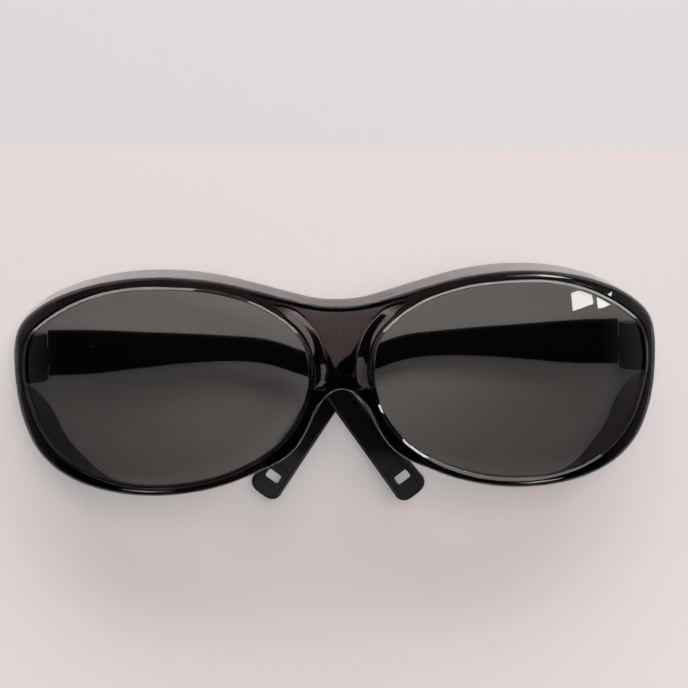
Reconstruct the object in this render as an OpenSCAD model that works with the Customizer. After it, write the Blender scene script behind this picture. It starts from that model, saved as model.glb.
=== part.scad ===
// Over-glasses safety glasses, lying face up on their folded temples.
// +X is the wearer's left, +Y points to the brow and +Z out of the front, with the table at z = 0.

/* [Front] */
// Width across the rims
front_width = 161; // [145:1:175]
// Height of the rims from the lowest point to the brow
front_height = 52.5; // [46:0.5:58]
// Radius of the front's curve round the face
wrap_radius = 135; // [125:1:190]
// Radius of the front's curve from brow to cheek
crown_radius = 150; // [120:5:300]
// Thickness of the rims from front to back
rim_thick = 4.4; // [4:0.1:6]
// Width of the raised band round each lens at the bridge
band_width = 4.2; // [3.4:0.1:5]
// How far the bridge plate lies below the raised bands
plate_drop = 0.8; // [0.3:0.1:1.4]
// Thickness of the bridge plate
plate_thick = 2.8; // [2:0.1:3.2]
// Rounding of the rims' front edges
edge_round = 1; // [0.6:0.1:1.2]

/* [Side shields and brow shelf] */
// Thickness of the walls that run back from the rims
wall = 2; // [1.4:0.1:2.4]
// Depth of the side shields
side_depth = 16.6; // [13:0.1:20]
// Depth of the brow shelf over the middle of a lens
brow_depth = 16; // [10:0.5:20]
// Depth of the brow shelf over the nose
bridge_depth = 10; // [7:0.5:14]
// Depth of the lip along the cheek
cheek_depth = 5.6; // [5.2:0.1:8]
// Depth of the lip round the nose
nose_depth = 5; // [4.8:0.1:6]
// How far the brow shelf leans out towards its rear edge
brow_flare = 1.5; // [0:0.1:3]
// How far the end pieces lean out to hold the hinges
hinge_flare = 2.2; // [1:0.1:3]
// How far the side shields draw in behind the cheek
shield_taper = 4; // [1:0.1:5]

/* [Lenses] */
// Thickness of a lens
lens_thick = 2; // [1.6:0.1:2.2]
// How far the lens face lies behind the rim's front
lens_set = 1.25; // [1:0.05:1.6]
// Depth of the groove that holds a lens
groove_depth = 1.1; // [0.8:0.05:1.2]
// Gap round a lens in its groove
lens_fit = 0.08; // [0.04:0.01:0.15]

/* [Nose saddle] */
// Depth of the saddle behind the bridge
saddle_depth = 9; // [6:0.5:12]
// Width of the flange that lies on the back of the rims
flange_width = 3.2; // [2:0.1:3.6]
// Thickness of the saddle's flange
flange_thick = 1.3; // [1:0.1:2]
// Thickness of the saddle's pads
pad_thick = 1.6; // [1.2:0.1:2.2]
// How far the pads open out towards the face
pad_flare = 2.2; // [1:0.1:4.5]
// Gap between the saddle and the back of the rims
saddle_fit = 0.15; // [0.05:0.05:0.3]

/* [Temples] */
// Thickness of a temple
arm_thick = 3.6; // [3:0.1:4.2]
// Height of a temple at its hinge
arm_tall = 11.8; // [9:0.1:12]
// Height of a temple before its bend
neck_tall = 6.6; // [5:0.1:8]
// Height of the temple's tip
tip_tall = 8.8; // [7:0.1:10]
// Length from the hinge to the start of the bend
arm_length = 58.4; // [48:0.2:64]
// How far the arm bows up in its middle
arm_bow = 1.5; // [0:0.1:3]
// Length of the bend between arm and ear piece
bend_length = 15; // [12:0.5:20]
// How far the arm drops over the bend
bend_drop = 5.2; // [4:0.1:7]
// Angle of the ear piece below the arm
drop_angle = 53; // [45:1:60]
// Length of the ear piece after the bend
ear_length = 39.2; // [30:0.2:44]
// How far the tip curves in towards the head
tip_rise = 5; // [0:0.5:8]
// Rounding of a temple's edges
arm_round = 1.2; // [0.5:0.1:1.4]
// Length of the cord slot, across the tip
slot_length = 4; // [3:0.1:5]
// Width of the cord slot
slot_width = 2.2; // [1.6:0.1:3]
// Distance of the cord slot's middle from the end of the temple
slot_back = 5.6; // [4.5:0.1:7]
// Depth of the shallow pocket round the cord slot
pocket_depth = 0.8; // [0.3:0.1:1.2]
// Width of the border round the pocket
pocket_border = 1.3; // [0.8:0.1:2]
// Gap between the temples where they cross
cross_gap = 0.4; // [0.3:0.1:1.5]

/* [Hinges] */
// Radius of the hinge barrels
barrel_radius = 3; // [2.8:0.1:3.8]
// Height of a hinge
hinge_tall = 11.8; // [10:0.1:13]
// Height of the temple's middle barrel
knuckle_tall = 4.2; // [3:0.1:5]
// Gap between barrels, end to end
barrel_gap = 0.3; // [0.2:0.05:0.5]
// Radius of the hinge screw
screw_radius = 1; // [0.8:0.05:1.3]
// Running clearance of the screw in the barrels, on the radius
screw_fit = 0.05; // [0.02:0.01:0.1]
// Radius of the screw's head
head_radius = 1.7; // [1.4:0.05:1.9]
// Height of the screw's head
head_tall = 1; // [0.8:0.05:1.2]
// Width of the slot in the screw's head
driver_width = 0.8; // [0.4:0.05:0.9]
// Depth of the slot in the screw's head
driver_depth = 0.35; // [0.2:0.05:0.5]
// Width across the nut's flats
nut_flats = 3.6; // [3:0.1:4]
// Height of the nut
nut_tall = 1.5; // [1.2:0.1:1.8]
// Gap round the screw's head and the nut in the block
pocket_fit = 0.1; // [0.05:0.01:0.15]
// Gap round the screw's shaft in the nut
nut_fit = 0.03; // [0.01:0.01:0.05]
// Distance of the hinge axis from the side of the front
hinge_inset = 3.5; // [3.3:0.1:5]
// Gap between a temple's end and the hinge block
root_gap = 0.35; // [0.3:0.05:0.6]
// Gap between the hinge block and the side wall
seat_gap = 0.08; // [0.05:0.01:0.3]
// How far the temple's barrel lies inside the ears' outline
barrel_step = 0.3; // [0.2:0.05:0.5]
// Height of the hinge block above its axis
block_rise = 10; // [7:0.1:12]

/* [Hidden] */
smoke = [0.3, 0.28, 0.28, 0.55];
lens_grey = [0.2, 0.19, 0.19, 0.7];
black = [0.04, 0.035, 0.04];
steel = [0.6, 0.6, 0.62];

// Half outline, from the top of the nose arch along the cheek, up the side and back along the brow
half_outline = [[0, 1.4], [2.2, 0.9], [4.2, -0.8], [6, -3.6], [8.3, -8], [11, -12.2], [15, -15.5],
    [20.5, -18.1], [27, -20.8], [35, -23], [44, -24.2], [53, -24.1], [61.5, -22.7], [69, -19.6],
    [74.6, -14.8], [77.9, -8.8], [79.8, -2], [80.5, 5], [80.4, 11.5], [78.9, 16.2], [75.2, 19.9],
    [69.2, 23.4], [60.5, 26.3], [50.5, 28], [40.5, 28.3], [30, 27.3], [20.5, 25.2], [12, 22.9],
    [5.5, 21.3], [0, 20.9]];
// Lens edge, anticlockwise from its point nearest the nose
lens_edge = [[8, 2], [10.2, -4.6], [14.8, -10.8], [21, -15.3], [29.5, -19], [39, -21.1], [49, -21.6],
    [58.5, -20], [66.5, -16.2], [72.6, -9.8], [76, -2], [77.4, 6], [75.8, 13.2], [70, 18.2],
    [61, 22.6], [51, 24.9], [40.5, 25.2], [30, 24.3], [20.5, 21.6], [13.2, 17.2], [9.2, 12.6],
    [7.8, 7.4]];
// Middle of a lens, from which its stations fan out
lens_middle = [42, 2];
curve_steps = 2;
bridge_steps = 6;

// Both outlines are stretched from the size they are drawn at to the front's size
drawn_x = [for (p = half_outline) p[0]];
drawn_y = [for (p = half_outline) p[1]];
stretch = [front_width / 2 / max(drawn_x), front_height / (max(drawn_y) - min(drawn_y))];
half_width = front_width / 2;
middle = [lens_middle[0] * stretch[0], lens_middle[1] * stretch[1]];

// Smooth curve between b and c, with a and d as its neighbours
function blend(a, b, c, d, t) =
    0.5 * (2 * b + (c - a) * t + (2 * a - 5 * b + 4 * c - d) * t * t + (3 * b - a - 3 * c + d) * t * t * t);
function stretched(points) = [for (p = points) [p[0] * stretch[0], p[1] * stretch[1]]];
function open_curve(p, before, after, steps) = let (n = len(p) - 1)
    concat([for (i = [0:n - 1]) for (j = [0:steps - 1])
        blend(i == 0 ? before : p[i - 1], p[i], p[i + 1], i == n - 1 ? after : p[i + 2], j / steps)],
        [p[n]]);
function closed_curve(p, steps) = let (n = len(p))
    [for (i = [0:n - 1]) for (j = [0:steps - 1])
        blend(p[(i + n - 1) % n], p[i], p[(i + 1) % n], p[(i + 2) % n], j / steps)];
function mirrored(p) = [-p[0], p[1]];
function unit(v) = v / norm(v);
function mix(a, b, t) = a + (b - a) * t;
function clamp(t) = min(max(t, 0), 1);

// Height of the front surface above the table
function sag(x, y) = wrap_radius - sqrt(pow(wrap_radius, 2) - x * x) + y * y / (2 * crown_radius);
front_top = barrel_radius + side_depth + sag(half_width, 0);
function face_z(p) = front_top - sag(p[0], p[1]);

outline_points = stretched(half_outline);
outline_last = len(outline_points) - 1;
outline = open_curve(outline_points, mirrored(outline_points[1]), mirrored(outline_points[outline_last - 1]),
    curve_steps);
stations = len(outline);

// Lens edge as radius against angle about the lens middle
lens_curve = closed_curve(stretched(lens_edge), 4);
lens_table = [for (i = [0:len(lens_curve)])
    let (p = lens_curve[i % len(lens_curve)] - middle)
    [i == 0 ? -180 : i == len(lens_curve) ? 180 : atan2(p[1], p[0]), norm(p)]];
function lens_point(angle, grow = 0) =
    let (a = angle > 180 ? angle - 360 : angle < -180 ? angle + 360 : angle)
    middle + (lookup(a, lens_table) + grow) * [cos(a), sin(a)];
// Direction from the lens middle, running on past half a turn at the nose arch
function turn_of(p) = let (v = p - middle, a = atan2(v[1], v[0]))
    a > 179 || p[0] < 1 && p[1] < middle[1] && a > 0 ? a - 360 : a;

// Depth of the perimeter wall and how far its rear edge leans out in x and y, by angle
wall_rows = [
    [-182, nose_depth, 0, 0],
    [-150, nose_depth, 0, 0],
    [-120, mix(nose_depth, cheek_depth, 0.5), 0, 0],
    [-86, cheek_depth, 0, 0],
    [-66, mix(cheek_depth, side_depth, 0.18), 0, 0],
    [-52, mix(cheek_depth, side_depth, 0.55), -0.25 * shield_taper, 0.15 * shield_taper],
    [-40, mix(cheek_depth, side_depth, 0.9), -0.6 * shield_taper, 0.3 * shield_taper],
    [-28, side_depth, -0.9 * shield_taper, 0.2 * shield_taper],
    [-15, side_depth, -shield_taper, 0],
    [-7, side_depth, -0.45 * shield_taper, 0],
    [-1, side_depth, hinge_flare, 0],
    [14, side_depth, hinge_flare, 0],
    [21, side_depth, 0.8 * hinge_flare, 0.4 * brow_flare],
    [32, side_depth, 0.4 * hinge_flare, 0.8 * brow_flare],
    [54, mix(side_depth, brow_depth, 0.5), 0.1 * hinge_flare, brow_flare],
    [94, brow_depth, 0, brow_flare],
    [130, mix(brow_depth, bridge_depth, 0.7), 0, brow_flare],
    [157, bridge_depth, 0, brow_flare]];
wall_index = [for (i = [0:len(wall_rows) - 1]) [wall_rows[i][0], i]];
function wall_at(angle) =
    let (f = lookup(angle, wall_index), last = len(wall_rows) - 1, i = min(floor(f), last - 1))
    blend(wall_rows[max(i - 1, 0)], wall_rows[i], wall_rows[i + 1], wall_rows[min(i + 2, last)], f - i);

// Outward direction of the half outline at station i
function outline_normal(i) =
    let (a = i == 0 ? mirrored(outline[1]) : outline[i - 1],
        b = i == stations - 1 ? mirrored(outline[stations - 2]) : outline[i + 1], t = unit(b - a))
    [t[1], -t[0]];
function at_height(p, drop) = [p[0], p[1], face_z(p) - drop];

// Points round one cross-section, from the lip in front of the lens to the back of its groove
function lens_side_front(edge, out, width) =
    let (crown = min(band_width - edge_round, width - 1.3 * edge_round),
        step = min(band_width, width - 0.85 * edge_round),
        broad = clamp((width - 5) / 3))
    [at_height(edge, 0.55 * edge_round),
        at_height(edge + out * 0.45 * edge_round, 0.12 * edge_round),
        at_height(edge + out * 1.1 * edge_round, 0),
        at_height(edge + out * crown, 0),
        at_height(edge + out * step, mix(0.08 * edge_round, plate_drop, broad))];
function lens_side_back(edge, out) = [
    at_height(edge + out * 0.35, rim_thick),
    at_height(edge, rim_thick - 0.35),
    at_height(edge, lens_set + lens_thick + lens_fit),
    at_height(edge + out * groove_depth, lens_set + lens_thick + lens_fit),
    at_height(edge + out * groove_depth, lens_set - lens_fit),
    at_height(edge, lens_set - lens_fit)];
// A station that meets the outline has its stretch of wall
function rim_section(i) =
    let (o = outline[i], angle = turn_of(o), edge = lens_point(angle), width = norm(o - edge),
        out = unit(o - edge), n = outline_normal(i), w = wall_at(angle), depth = w[1], lean = [w[2], w[3]],
        broad = clamp((width - 5) / 3), top = broad * plate_drop, rear = face_z(o) - depth)
    concat(lens_side_front(edge, out, width),
        [at_height(o - n * 0.4 * edge_round, top + 0.3 * edge_round),
            at_height(o, top + edge_round),
            [o[0] + lean[0], o[1] + lean[1], rear],
            [o[0] + lean[0] - n[0] * wall, o[1] + lean[1] - n[1] * wall, rear],
            at_height(o + lean * rim_thick / depth - n * wall,
                mix(rim_thick, plate_drop + plate_thick, broad))],
        lens_side_back(edge, out));
// A station across the bridge ends on the plane between the halves
function bridge_section(angle) =
    let (o = [0, middle[1] - middle[0] * tan(angle)], edge = lens_point(angle), out = unit(o - edge))
    concat(lens_side_front(edge, out, norm(o - edge)),
        [for (k = [0:4]) at_height(o, plate_drop + plate_thick * k / 4)],
        lens_side_back(edge, out));
nose_turn = turn_of(outline[0]);
brow_turn = turn_of(outline[stations - 1]);
sections = concat([for (i = [0:stations - 1]) rim_section(i)],
    [for (i = [1:bridge_steps - 1]) bridge_section(mix(brow_turn, nose_turn + 360, i / bridge_steps))]);

// Both halves of the front as one closed surface that shares its points on the middle plane
module front_frame() {
    count = len(sections);
    size = len(sections[0]);
    flat = [for (s = sections) for (p = s) p];
    points = concat(flat, [for (p = flat) [-p[0], p[1], p[2]]]);
    function on_middle(i) = abs(flat[i][0]) < 0.001;
    function far_side(i) = on_middle(i) ? i : i + len(flat);
    corners = [for (i = [0:count - 1]) for (k = [0:size - 1])
        let (a = i * size, b = (i + 1) % count * size, m = (k + 1) % size) [a + k, b + k, b + m, a + m]];
    open = [for (q = corners) if (len([for (i = q) if (!on_middle(i)) i]) > 0) q];
    near_faces = [for (q = open) each [[q[0], q[1], q[2]], [q[0], q[2], q[3]]]];
    color(smoke) translate([0, -centre_y, 0])
        polyhedron(points, convexity = 8,
            faces = concat(near_faces, [for (f = near_faces) [for (i = [2, 1, 0]) far_side(f[i])]]));
}

// Lens of one side: rings of points on its face and back, from the edge to the middle
lens_turns = 56;
ring_shares = [1, 0.96, 0.78, 0.52, 0.26];
module lens() {
    rings = len(ring_shares);
    grow = groove_depth - lens_fit;
    function ring(share, drop) = [for (i = [0:lens_turns - 1])
        at_height(mix(middle, lens_point(i * 360 / lens_turns - 180, grow), share), drop)];
    face = [for (s = ring_shares) each ring(s, lens_set)];
    back = [for (s = ring_shares) each ring(s, lens_set + lens_thick)];
    side = rings * lens_turns;
    points = concat(face, back, [at_height(middle, lens_set), at_height(middle, lens_set + lens_thick)]);
    function next(i) = (i + 1) % lens_turns;
    color(lens_grey) translate([0, -centre_y, 0]) polyhedron(points, concat(
        [for (r = [0:rings - 2]) for (i = [0:lens_turns - 1]) let (a = r * lens_turns, b = a + lens_turns)
            each [[a + i, b + i, b + next(i)], [a + i, b + next(i), a + next(i)]]],
        [for (r = [0:rings - 2]) for (i = [0:lens_turns - 1])
            let (a = side + r * lens_turns, b = a + lens_turns)
            each [[b + next(i), b + i, a + i], [a + next(i), b + next(i), a + i]]],
        [for (i = [0:lens_turns - 1]) each [[next(i), side + next(i), i], [side + next(i), side + i, i]]],
        [for (i = [0:lens_turns - 1]) let (a = (rings - 1) * lens_turns)
            each [[a + i, 2 * side, a + next(i)], [side + a + next(i), 2 * side + 1, side + a + i]]]),
        convexity = 4);
}
module lens_left() { lens(); }
module lens_right() { mirror([1, 0, 0]) lens(); }

// Soft saddle, swept along the nose arch from foot to foot
saddle_reach = 13;
function saddle_section(i) =
    let (k = abs(i) / saddle_reach, side = i < 0 ? -1 : 1, o = outline[abs(i)], n = outline_normal(abs(i)),
        deep = saddle_depth * (1 - 0.68 * pow(k, 3)),
        lean = mix(0.3, 1, k) * (1 - 0.6 * pow(k, 4)) * pad_flare,
        flange = flange_width * (1 - 0.45 * pow(k, 2)), z = face_z(o) - nose_depth - saddle_fit,
        profile = [[0.2, 0], [-flange, 0], [-flange, flange_thick],
            [-pad_thick - 0.3 * lean, flange_thick + 0.9], [-pad_thick - lean, deep - 0.4],
            [-0.6 * pad_thick - lean, deep], [-0.2 * pad_thick - lean, deep - 0.3],
            [0.2 - 0.3 * lean, flange_thick + 0.9]])
    [for (q = profile) [side * (o[0] + n[0] * q[0]), o[1] + n[1] * q[0], z - q[1]]];
module nose_saddle() {
    rows = [for (i = [-saddle_reach:saddle_reach]) saddle_section(i)];
    size = len(rows[0]);
    last = (len(rows) - 1) * size;
    color(black) translate([0, -centre_y, 0]) polyhedron([for (r = rows) each r], concat(
        [for (i = [0:len(rows) - 2]) for (k = [0:size - 1])
            let (a = i * size, b = a + size, m = (k + 1) % size)
            each [[a + k, b + m, b + k], [a + k, a + m, b + m]]],
        [[for (k = [0:size - 1]) size - 1 - k], [for (k = [0:size - 1]) last + k]]), convexity = 6);
}

// Hinge axis, along y
hinge_x = half_width - hinge_inset;
hinge_y = 7.3 * stretch[1];
hinge_z = barrel_radius;
root = barrel_radius + root_gap;
// Inside of the side wall at height z, where it lies nearest over the length of a hinge
side_line = [for (p = outline) if (p[0] > 0.9 * half_width) [p[1], p[0]]];
hinge_ends = [for (y = [hinge_y - hinge_tall / 2, hinge_y + hinge_tall / 2]) [lookup(y, side_line), y]];
function seat_x(z) =
    min([for (p = hinge_ends) p[0] + wall_at(turn_of(p))[2] * (face_z(p) - z) / side_depth])
    - wall - seat_gap;

// Temple path from its hinge: distance inwards, height, breadth and thickness
ear_way = [cos(drop_angle), -sin(drop_angle)];
bend_end = [arm_length + bend_length, -bend_drop];
temple_rows = concat(
    [[root, 0.6 * arm_bow, arm_tall, arm_thick],
        [0.26 * arm_length, 0.67 * arm_bow, 0.95 * arm_tall, arm_thick],
        [0.48 * arm_length, 0.87 * arm_bow, mix(neck_tall, arm_tall, 0.5), arm_thick],
        [0.67 * arm_length, arm_bow, mix(neck_tall, arm_tall, 0.2), arm_thick],
        [0.85 * arm_length, 0.87 * arm_bow, neck_tall, arm_thick],
        [arm_length, 0.33 * arm_bow, 0.96 * neck_tall, arm_thick],
        [arm_length + 0.53 * bend_length, -0.37 * bend_drop, 0.92 * neck_tall, arm_thick]],
    [for (s = [0, 0.28, 0.56, 0.82, 1])
        let (p = bend_end + ear_way * ear_length * s)
        [p[0], p[1], mix(0.92 * neck_tall, tip_tall, s), mix(arm_thick, 0.85 * arm_thick, s)]]);
temple_last = len(temple_rows) - 1;
temple_curve = open_curve(temple_rows, 2 * temple_rows[0] - temple_rows[1],
    2 * temple_rows[temple_last] - temple_rows[temple_last - 1], 3);
temple_stations = len(temple_curve);
rise_start = arm_length + 0.2 * bend_length;
rise_end = bend_end[0] + ear_way[0] * ear_length;
function rise(u) = tip_rise * pow(clamp((u - rise_start) / (rise_end - rise_start)), 1.6);
// Share of the full breadth near the rounded end of the tip
function end_share(i) = let (left = temple_stations - 1 - i) left == 0 ? 0.62 : left == 1 ? 0.9 : 1;
function temple_side(i) =
    let (a = temple_curve[max(i - 1, 0)], b = temple_curve[min(i + 1, temple_stations - 1)],
        t = unit([b[0] - a[0], b[1] - a[1]]))
    [-t[1], t[0]];
corner_turns = [0, 45, 90];
// Rounded rectangle across the temple, with a flat outer face at the bottom
function temple_section(i) =
    let (c = temple_curve[i], n = i == 0 ? [0, 1] : temple_side(i), half = c[2] / 2 * end_share(i),
        thick = c[3], r = arm_round, low = rise(c[0]) - hinge_z)
    [for (q = [0:3]) for (turn = corner_turns)
        let (a = turn + 90 * q, sx = q == 0 || q == 3 ? 1 : -1, sz = q < 2 ? 1 : -1,
            across = sx * (half - r) + r * cos(a), up = sz * (thick / 2 - r) + r * sin(a))
        [-(c[0] + n[0] * across), c[1] + n[1] * across, low + thick / 2 + up]];
module temple_shell() {
    rows = [for (i = [0:temple_stations - 1]) temple_section(i)];
    size = len(rows[0]);
    last = (len(rows) - 1) * size;
    polyhedron([for (r = rows) each r], concat(
        [for (i = [0:len(rows) - 2]) for (k = [0:size - 1])
            let (a = i * size, b = a + size, m = (k + 1) % size)
            each [[a + k, b + m, b + k], [a + k, a + m, b + m]]],
        [[for (k = [0:size - 1]) size - 1 - k], [for (k = [0:size - 1]) last + k]]), convexity = 6);
}
tip_middle = bend_end + ear_way * (ear_length - slot_back);
tip_top = rise(tip_middle[0]) + 0.87 * arm_thick;
tip_lean = atan(tip_rise * 1.6 / (rise_end - rise_start));
// Puts a tool at the middle of the tip, with its x along the ear piece
module at_tip() {
    translate([-tip_middle[0], tip_middle[1], tip_top - hinge_z]) rotate([0, 0, 180 + drop_angle])
        rotate([0, -tip_lean * cos(drop_angle), 0]) children();
}
module hinge_bore(length) {
    rotate([90, 0, 0]) cylinder(h = length, r = screw_radius + screw_fit, center = true, $fn = 48);
}
knuckle_radius = barrel_radius - barrel_step;
tongue_bite = arm_thick / 2;
// Folded flat, with the hinge axis along y through the origin and the arm towards -x
module temple() {
    pocket = tip_tall - 2 * pocket_border;
    difference() {
        union() {
            temple_shell();
            rotate([90, 0, 0]) cylinder(h = knuckle_tall, r = knuckle_radius, center = true, $fn = 64);
            translate([-root - tongue_bite, -knuckle_tall / 2, barrel_step - hinge_z])
                cube([root + tongue_bite, knuckle_tall, arm_thick - 2 * barrel_step]);
        }
        hinge_bore(2 * hinge_tall);
        at_tip() translate([0, 0, arm_thick - pocket_depth])
            cube([1.15 * pocket, pocket, 2 * arm_thick], center = true);
        at_tip() cube([slot_width, slot_length, 4 * arm_thick], center = true);
    }
}
// The right temple lies over the left one, so it is folded a little further
cross_half = neck_tall / 2 / sin(drop_angle);
cross_tilt = asin((arm_thick + cross_gap + rise(hinge_x + cross_half) - rise(hinge_x - cross_half))
    / (hinge_x - cross_half));
module temple_left() {
    color(black) translate([hinge_x, hinge_y - centre_y, hinge_z]) temple();
}
module temple_right() {
    color(black) mirror([1, 0, 0]) translate([hinge_x, hinge_y - centre_y, hinge_z])
        rotate([0, cross_tilt, 0]) temple();
}

// Hinge block: two ears on a body that seats against the inside of the end piece
block_top = hinge_z + block_rise;
module hinge_block() {
    slot = knuckle_tall + 2 * barrel_gap;
    clear = barrel_radius + 0.1;
    slot_lip = 0.4;
    difference() {
        translate([0, hinge_tall / 2, 0]) rotate([90, 0, 0]) linear_extrude(hinge_tall) union() {
            circle(r = barrel_radius, $fn = 64);
            polygon([[-barrel_radius, 0], [seat_x(hinge_z) - hinge_x, 0],
                [seat_x(block_top) - hinge_x, block_rise], [0.2, block_rise],
                [-barrel_radius, 0.5 * block_rise]]);
        }
        rotate([90, 0, 0]) cylinder(h = slot, r = clear, center = true, $fn = 64);
        translate([-2 * barrel_radius, -slot / 2, -2 * barrel_radius])
            cube([4 * barrel_radius, slot, 2 * barrel_radius + slot_lip]);
        hinge_bore(2 * hinge_tall);
        translate([0, hinge_tall / 2 - head_tall - pocket_fit, 0]) rotate([-90, 0, 0])
            cylinder(h = 2 * head_tall, r = head_radius + pocket_fit, $fn = 48);
        translate([0, nut_tall + pocket_fit - hinge_tall / 2, 0]) rotate([90, 0, 0])
            cylinder(h = 2 * nut_tall, r = (nut_flats / 2 + pocket_fit) / cos(30), $fn = 6);
    }
}
module at_hinge() { translate([hinge_x, hinge_y - centre_y, hinge_z]) children(); }
module hinge_block_left() { color(black) at_hinge() hinge_block(); }
module hinge_block_right() { color(black) mirror([1, 0, 0]) at_hinge() hinge_block(); }

// Slotted screw down through the barrels
module hinge_screw() {
    seat = hinge_tall / 2 - head_tall - pocket_fit / 2;
    foot = pocket_fit - hinge_tall / 2;
    difference() {
        union() {
            translate([0, seat, 0]) rotate([-90, 0, 0]) cylinder(h = head_tall, r = head_radius, $fn = 48);
            translate([0, foot, 0]) rotate([-90, 0, 0])
                cylinder(h = seat - foot + head_tall / 2, r = screw_radius, $fn = 48);
        }
        translate([0, seat + head_tall, 0])
            cube([2 * head_radius + 1, 2 * driver_depth, driver_width], center = true);
    }
}
module hinge_screw_left() { color(steel) at_hinge() hinge_screw(); }
module hinge_screw_right() { color(steel) mirror([1, 0, 0]) at_hinge() hinge_screw(); }

// Hexagonal nut in the pocket of the lower ear
module hinge_nut() {
    difference() {
        translate([0, nut_tall + pocket_fit / 2 - hinge_tall / 2, 0]) rotate([90, 0, 0])
            cylinder(h = nut_tall, r = nut_flats / 2 / cos(30), $fn = 6);
        rotate([90, 0, 0]) cylinder(h = 2 * hinge_tall, r = screw_radius + nut_fit, center = true, $fn = 48);
    }
}
module hinge_nut_left() { color(steel) at_hinge() hinge_nut(); }
module hinge_nut_right() { color(steel) mirror([1, 0, 0]) at_hinge() hinge_nut(); }

// Middle of the whole part in y, so that the origin lies under it
high_y = max([for (s = sections) each [s[6][1], s[7][1]]]);
low_y = min(concat([for (s = sections) min(s[6][1], s[7][1])],
    [for (i = [0:temple_stations - 1]) for (p = temple_section(i)) p[1] + hinge_y]));
centre_y = (high_y + low_y) / 2;

front_frame();
lens_left();
lens_right();
nose_saddle();
hinge_block_left();
hinge_block_right();
hinge_screw_left();
hinge_screw_right();
hinge_nut_left();
hinge_nut_right();
temple_left();
temple_right();
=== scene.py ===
import math

import bmesh
import bpy
import numpy as np
from mathutils import Matrix, Vector


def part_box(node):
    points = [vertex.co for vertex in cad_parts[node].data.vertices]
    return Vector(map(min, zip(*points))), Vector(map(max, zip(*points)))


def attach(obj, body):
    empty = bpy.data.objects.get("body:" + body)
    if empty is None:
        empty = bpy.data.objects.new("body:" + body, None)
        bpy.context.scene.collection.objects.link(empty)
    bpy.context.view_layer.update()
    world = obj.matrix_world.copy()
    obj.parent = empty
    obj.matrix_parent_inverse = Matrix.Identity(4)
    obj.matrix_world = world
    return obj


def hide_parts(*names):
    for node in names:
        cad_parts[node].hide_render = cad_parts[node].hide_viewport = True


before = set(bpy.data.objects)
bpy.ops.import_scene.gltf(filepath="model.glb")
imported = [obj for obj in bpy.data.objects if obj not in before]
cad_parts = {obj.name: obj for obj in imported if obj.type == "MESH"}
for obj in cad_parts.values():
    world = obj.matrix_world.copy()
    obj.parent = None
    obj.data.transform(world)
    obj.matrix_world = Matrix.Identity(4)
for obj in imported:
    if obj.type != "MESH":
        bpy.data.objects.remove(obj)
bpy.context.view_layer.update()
mm = 0.001    # sizes are written in millimetres, Blender works in metres


# keeps a node tree short to write: adds nodes, sets their sockets and links what comes from other nodes
class Nodes:
    def __init__(self, tree):
        self.tree = tree

    def add(self, kind, **settings):
        node = self.tree.nodes.new(kind)
        for key, value in settings.items():
            setattr(node, key, value)
        return node

    def feed(self, node, values):
        for key, value in values.items():
            socket = node.inputs[key]
            if isinstance(value, bpy.types.NodeSocket):
                self.tree.links.new(value, socket)
            else:
                socket.default_value = value
        return node

    def math(self, operation, a, b=None):
        node = self.add("ShaderNodeMath", operation=operation)
        self.feed(node, {0: a} if b is None else {0: a, 1: b})
        return node.outputs[0]

    # goes from low to high while the value goes from start to end
    def ramp(self, value, start, end, low, high, kind="SMOOTHSTEP"):
        node = self.feed(self.add("ShaderNodeMapRange", interpolation_type=kind), {"Value": value,
            "From Min": start, "From Max": end, "To Min": low, "To Max": high})
        return node.outputs[0]

    def mixColour(self, share, a, b):
        node = self.feed(self.add("ShaderNodeMix", data_type="RGBA"), {"Factor": share, 6: a, 7: b})
        return node.outputs[2]

    def mixShader(self, share, a, b):
        return self.feed(self.add("ShaderNodeMixShader"), {"Fac": share, 1: a, 2: b}).outputs[0]

    def objectPlace(self):
        return self.add("ShaderNodeTexCoord").outputs["Object"]

    def split(self, vector):
        return self.feed(self.add("ShaderNodeSeparateXYZ"), {0: vector}).outputs


def newTree(name, kind, inputs, outputs):
    tree = bpy.data.node_groups.new(name, kind)
    for label, socketType, value in inputs:
        socket = tree.interface.new_socket(name=label, in_out="INPUT", socket_type=socketType)
        if value is not None:
            socket.default_value = value
    for label, socketType in outputs:
        tree.interface.new_socket(name=label, in_out="OUTPUT", socket_type=socketType)
    return tree, Nodes(tree)


# fine noise that moulded plastic shows up close
def makeMouldGrain():
    tree, n = newTree("mouldGrain", "ShaderNodeTree", [
        ("Size", "NodeSocketFloat", 900.0), ("Unevenness", "NodeSocketFloat", 0.05),
        ("Base Roughness", "NodeSocketFloat", 0.4)],
        [("Height", "NodeSocketFloat"), ("Roughness", "NodeSocketFloat"), ("Cloud", "NodeSocketFloat")])
    put, give = n.add("NodeGroupInput"), n.add("NodeGroupOutput")
    where = n.objectPlace()
    fine = n.feed(n.add("ShaderNodeTexNoise"), {"Vector": where, "Scale": put.outputs["Size"],
        "Detail": 3.0, "Roughness": 0.6})
    broad = n.feed(n.add("ShaderNodeTexNoise"), {"Vector": where, "Scale": 55.0, "Detail": 4.0})
    sway = n.math("MULTIPLY", n.math("SUBTRACT", broad.outputs["Fac"], 0.5), put.outputs["Unevenness"])
    rough = n.math("ADD", put.outputs["Base Roughness"], n.math("MULTIPLY", sway, 2.0))
    n.feed(give, {"Height": fine.outputs["Fac"], "Roughness": rough, "Cloud": broad.outputs["Fac"]})
    return tree


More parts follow.
